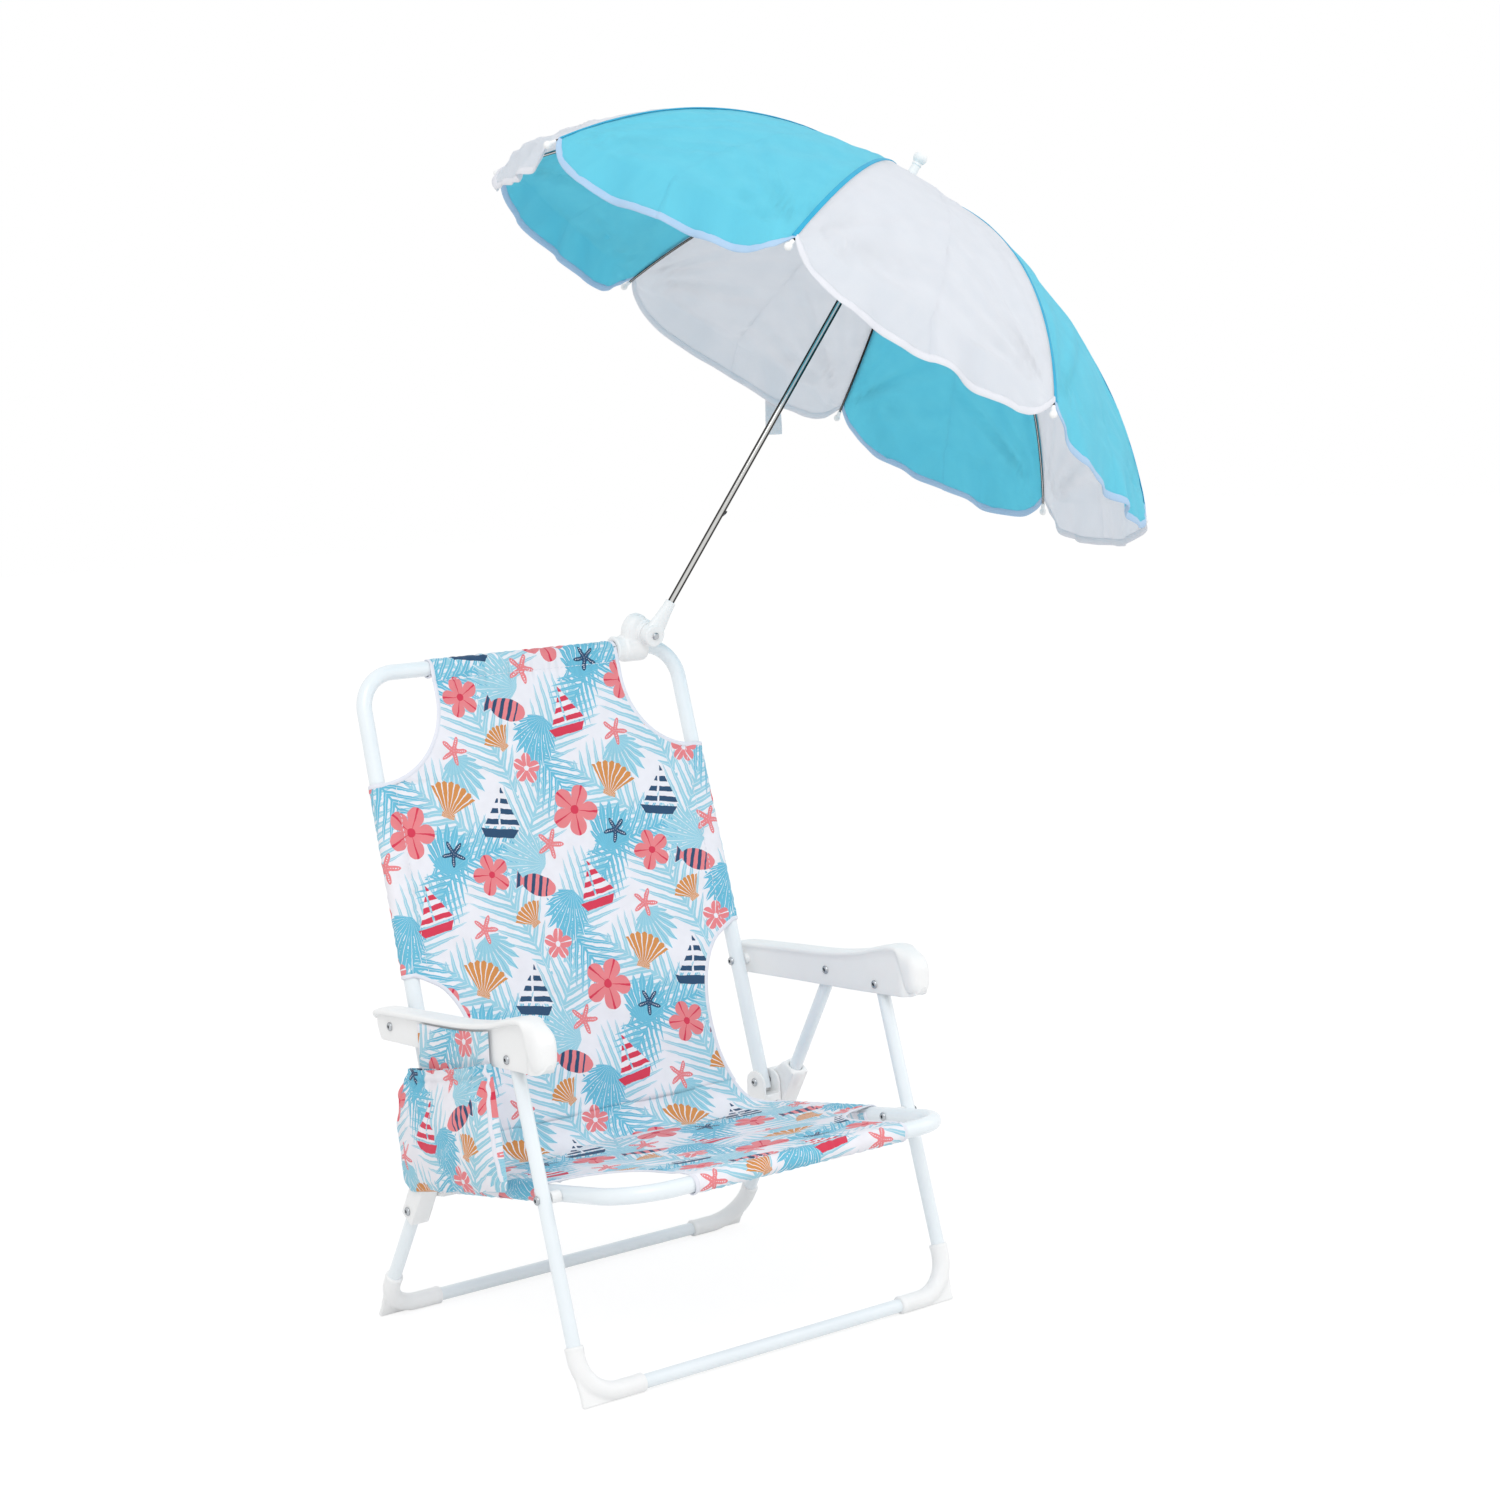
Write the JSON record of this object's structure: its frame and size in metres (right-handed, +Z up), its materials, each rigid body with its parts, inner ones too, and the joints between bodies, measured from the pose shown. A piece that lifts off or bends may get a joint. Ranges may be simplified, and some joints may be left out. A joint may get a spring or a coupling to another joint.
{
  "type": "folding beach chair with umbrella",
  "caption": "Low folding chair of bent tube with a fabric sling, moulded armrests and a side pocket, and a small umbrella clamped to its back that tilts and folds.",
  "frame": {"origin": "on the floor, under the middle of the whole part's plan box with the umbrella open", "axes": "+Z up, -Y the way the sitter faces, +X the side that the umbrella leans to"},
  "size_m": [0.8242, 0.6992, 1.0757],
  "materials": {
    "white_tube": "gloss white powder coat",
    "white_plastic": "white injection moulding, satin",
    "zinc": "zinc plated",
    "chrome": "bright plated steel",
    "sling_cloth": "printed woven polyester",
    "canopy_cloth": "thin woven polyester in blue and white gores",
    "strap_cloth": "white webbing"
  },
  "bodies": {
    "seat": {"seat_frame": "white_tube", "seat_sling": "sling_cloth", "seat_block_left": "white_plastic", "seat_block_right": "white_plastic", "seat_spacer_left": "white_plastic", "seat_spacer_right": "white_plastic", "back_pivot_rivet_left": "zinc", "back_pivot_rivet_right": "zinc", "front_leg_rivet_left": "zinc", "front_leg_rivet_right": "zinc"},
    "back": {"back_frame": "white_tube", "back_sling": "sling_cloth"},
    "armrests": {"armrest_left": "white_plastic", "armrest_right": "white_plastic", "arm_front_rivet_left": "zinc", "arm_front_rivet_right": "zinc", "arm_middle_rivet_left": "zinc", "arm_middle_rivet_right": "zinc", "arm_rear_rivet_left": "zinc", "arm_rear_rivet_right": "zinc", "side_pocket": "sling_cloth"},
    "front_legs": {"front_leg_frame": "white_tube", "front_boot_left": "white_plastic", "front_boot_right": "white_plastic"},
    "rear_legs": {"rear_leg_frame": "white_tube", "rear_boot_left": "white_plastic", "rear_boot_right": "white_plastic", "leg_saddle_left": "white_plastic", "leg_saddle_right": "white_plastic", "saddle_rivet_left": "zinc", "saddle_rivet_right": "zinc"},
    "clamp": {"bar_clamp": "white_plastic", "tilt_screw": "zinc"},
    "mast": {"mast_socket": "white_plastic", "mast_tube": "chrome", "crown": "white_plastic", "ferrule_cap": "white_plastic", "open_catch": "zinc", "closed_catch": "zinc", "canopy": "canopy_cloth"},
    "runner": {"runner": "white_plastic"},
    "rib_1": {"rib_1": "chrome"},
    "stretcher_1": {"stretcher_1": "chrome"},
    "rib_2": {"rib_2": "chrome"},
    "stretcher_2": {"stretcher_2": "chrome"},
    "rib_3": {"rib_3": "chrome"},
    "stretcher_3": {"stretcher_3": "chrome"},
    "rib_4": {"rib_4": "chrome"},
    "stretcher_4": {"stretcher_4": "chrome"},
    "rib_5": {"rib_5": "chrome"},
    "stretcher_5": {"stretcher_5": "chrome"},
    "rib_6": {"rib_6": "chrome", "closing_strap": "strap_cloth"},
    "stretcher_6": {"stretcher_6": "chrome"},
    "rib_7": {"rib_7": "chrome"},
    "stretcher_7": {"stretcher_7": "chrome"},
    "rib_8": {"rib_8": "chrome"},
    "stretcher_8": {"stretcher_8": "chrome"}
  },
  "joints": [
    {"name": "fold", "type": "hinge", "parent": "seat", "child": "back", "pos_m": [-0.19014, -0.01801, 0.1632], "axis": [1, 0, 0], "range_deg": [0, 85]},
    {"name": "arm_swing", "type": "hinge", "parent": "back", "child": "armrests", "pos_m": [-0.19014, 0.01279, 0.2761], "axis": [1, 0, 0], "range_deg": [-85, 0]},
    {"name": "rear_leg_swing", "type": "hinge", "parent": "armrests", "child": "rear_legs", "pos_m": [-0.19014, -0.10901, 0.2816], "axis": [1, 0, 0], "range_deg": [0, 39.1]},
    {"name": "front_leg_swing", "type": "hinge", "parent": "seat", "child": "front_legs", "pos_m": [-0.19014, -0.21071, 0.1649], "axis": [1, 0, 0], "range_deg": [0, 85]},
    {"name": "clamp_turn", "type": "hinge", "parent": "back", "child": "clamp", "pos_m": [-0.19014, 0.09068, 0.5778], "axis": [1, 0, 0], "range_deg": [-30, 30]},
    {"name": "mast_tilt", "type": "hinge", "parent": "clamp", "child": "mast", "pos_m": [-0.05714, 0.06719, 0.59005], "axis": [0, -0.9699, -0.2436], "range_deg": [-50, 75]},
    {"name": "runner_slide", "type": "slide", "parent": "mast", "child": "runner", "axis": [-0.5, 0.211, -0.8399], "range_m": [0, 0.2332], "deforming": ["canopy"]},
    {"name": "rib_1_swing", "type": "hinge", "parent": "mast", "child": "rib_1", "pos_m": [0.17568, -0.03533, 1.00087], "axis": [-0.0559, -0.9757, -0.2118], "range_deg": [0, 63.7]},
    {"name": "stretcher_1_swing", "type": "hinge", "parent": "runner", "child": "stretcher_1", "pos_m": [0.13139, -0.01664, 0.92647], "axis": [0.0559, 0.9757, 0.2118], "range_deg": [0, 52.37]},
    {"name": "rib_2_swing", "type": "hinge", "parent": "mast", "child": "rib_2", "pos_m": [0.17784, -0.04212, 0.99788], "axis": [0.5716, -0.6482, -0.5031], "range_deg": [0, 63.7]},
    {"name": "stretcher_2_swing", "type": "hinge", "parent": "runner", "child": "stretcher_2", "pos_m": [0.13355, -0.02344, 0.92348], "axis": [-0.5716, 0.6482, 0.5031], "range_deg": [0, 52.37]},
    {"name": "rib_3_swing", "type": "hinge", "parent": "mast", "child": "rib_3", "pos_m": [0.18385, -0.04459, 0.99368], "axis": [0.8642, 0.059, -0.4996], "range_deg": [0, 63.7]},
    {"name": "stretcher_3_swing", "type": "hinge", "parent": "runner", "child": "stretcher_3", "pos_m": [0.13956, -0.0259, 0.91928], "axis": [-0.8642, -0.059, 0.4996], "range_deg": [0, 52.37]},
    {"name": "rib_4_swing", "type": "hinge", "parent": "mast", "child": "rib_4", "pos_m": [0.19018, -0.04128, 0.99074], "axis": [0.6506, 0.7316, -0.2035], "range_deg": [0, 63.7]},
    {"name": "stretcher_4_swing", "type": "hinge", "parent": "runner", "child": "stretcher_4", "pos_m": [0.14589, -0.02259, 0.91634], "axis": [-0.6506, -0.7316, 0.2035], "range_deg": [0, 52.37]},
    {"name": "rib_5_swing", "type": "hinge", "parent": "mast", "child": "rib_5", "pos_m": [0.19314, -0.03414, 0.99077], "axis": [0.0559, 0.9757, 0.2118], "range_deg": [0, 63.7]},
    {"name": "stretcher_5_swing", "type": "hinge", "parent": "runner", "child": "stretcher_5", "pos_m": [0.14885, -0.01545, 0.91638], "axis": [-0.0559, -0.9757, -0.2118], "range_deg": [0, 52.37]},
    {"name": "rib_6_swing", "type": "hinge", "parent": "mast", "child": "rib_6", "pos_m": [0.19098, -0.02735, 0.99377], "axis": [-0.5716, 0.6482, 0.5031], "range_deg": [0, 63.7]},
    {"name": "stretcher_6_swing", "type": "hinge", "parent": "runner", "child": "stretcher_6", "pos_m": [0.14669, -0.00866, 0.91937], "axis": [0.5716, -0.6482, -0.5031], "range_deg": [0, 52.37]},
    {"name": "rib_7_swing", "type": "hinge", "parent": "mast", "child": "rib_7", "pos_m": [0.18498, -0.02488, 0.99796], "axis": [-0.8642, -0.059, 0.4996], "range_deg": [0, 63.7]},
    {"name": "stretcher_7_swing", "type": "hinge", "parent": "runner", "child": "stretcher_7", "pos_m": [0.14069, -0.00619, 0.92356], "axis": [0.8642, 0.059, -0.4996], "range_deg": [0, 52.37]},
    {"name": "rib_8_swing", "type": "hinge", "parent": "mast", "child": "rib_8", "pos_m": [0.17864, -0.02819, 1.0009], "axis": [-0.6506, -0.7316, 0.2035], "range_deg": [0, 63.7]},
    {"name": "stretcher_8_swing", "type": "hinge", "parent": "runner", "child": "stretcher_8", "pos_m": [0.13435, -0.0095, 0.9265], "axis": [0.6506, 0.7316, -0.2035], "range_deg": [0, 52.37]}
  ],
  "couplings": [
    {"joint": "arm_swing", "follows": "fold", "ratio": -1},
    {"joint": "rear_leg_swing", "follows": "fold", "ratio": 0.46},
    {"joint": "front_leg_swing", "follows": "fold", "ratio": 1},
    {"joint": "rib_1_swing", "follows": "runner_slide", "rad_per_m": 4.766},
    {"joint": "stretcher_1_swing", "follows": "runner_slide", "rad_per_m": 3.9184},
    {"joint": "rib_2_swing", "follows": "runner_slide", "rad_per_m": 4.766},
    {"joint": "stretcher_2_swing", "follows": "runner_slide", "rad_per_m": 3.9184},
    {"joint": "rib_3_swing", "follows": "runner_slide", "rad_per_m": 4.766},
    {"joint": "stretcher_3_swing", "follows": "runner_slide", "rad_per_m": 3.9184},
    {"joint": "rib_4_swing", "follows": "runner_slide", "rad_per_m": 4.766},
    {"joint": "stretcher_4_swing", "follows": "runner_slide", "rad_per_m": 3.9184},
    {"joint": "rib_5_swing", "follows": "runner_slide", "rad_per_m": 4.766},
    {"joint": "stretcher_5_swing", "follows": "runner_slide", "rad_per_m": 3.9184},
    {"joint": "rib_6_swing", "follows": "runner_slide", "rad_per_m": 4.766},
    {"joint": "stretcher_6_swing", "follows": "runner_slide", "rad_per_m": 3.9184},
    {"joint": "rib_7_swing", "follows": "runner_slide", "rad_per_m": 4.766},
    {"joint": "stretcher_7_swing", "follows": "runner_slide", "rad_per_m": 3.9184},
    {"joint": "rib_8_swing", "follows": "runner_slide", "rad_per_m": 4.766},
    {"joint": "stretcher_8_swing", "follows": "runner_slide", "rad_per_m": 3.9184}
  ]
}
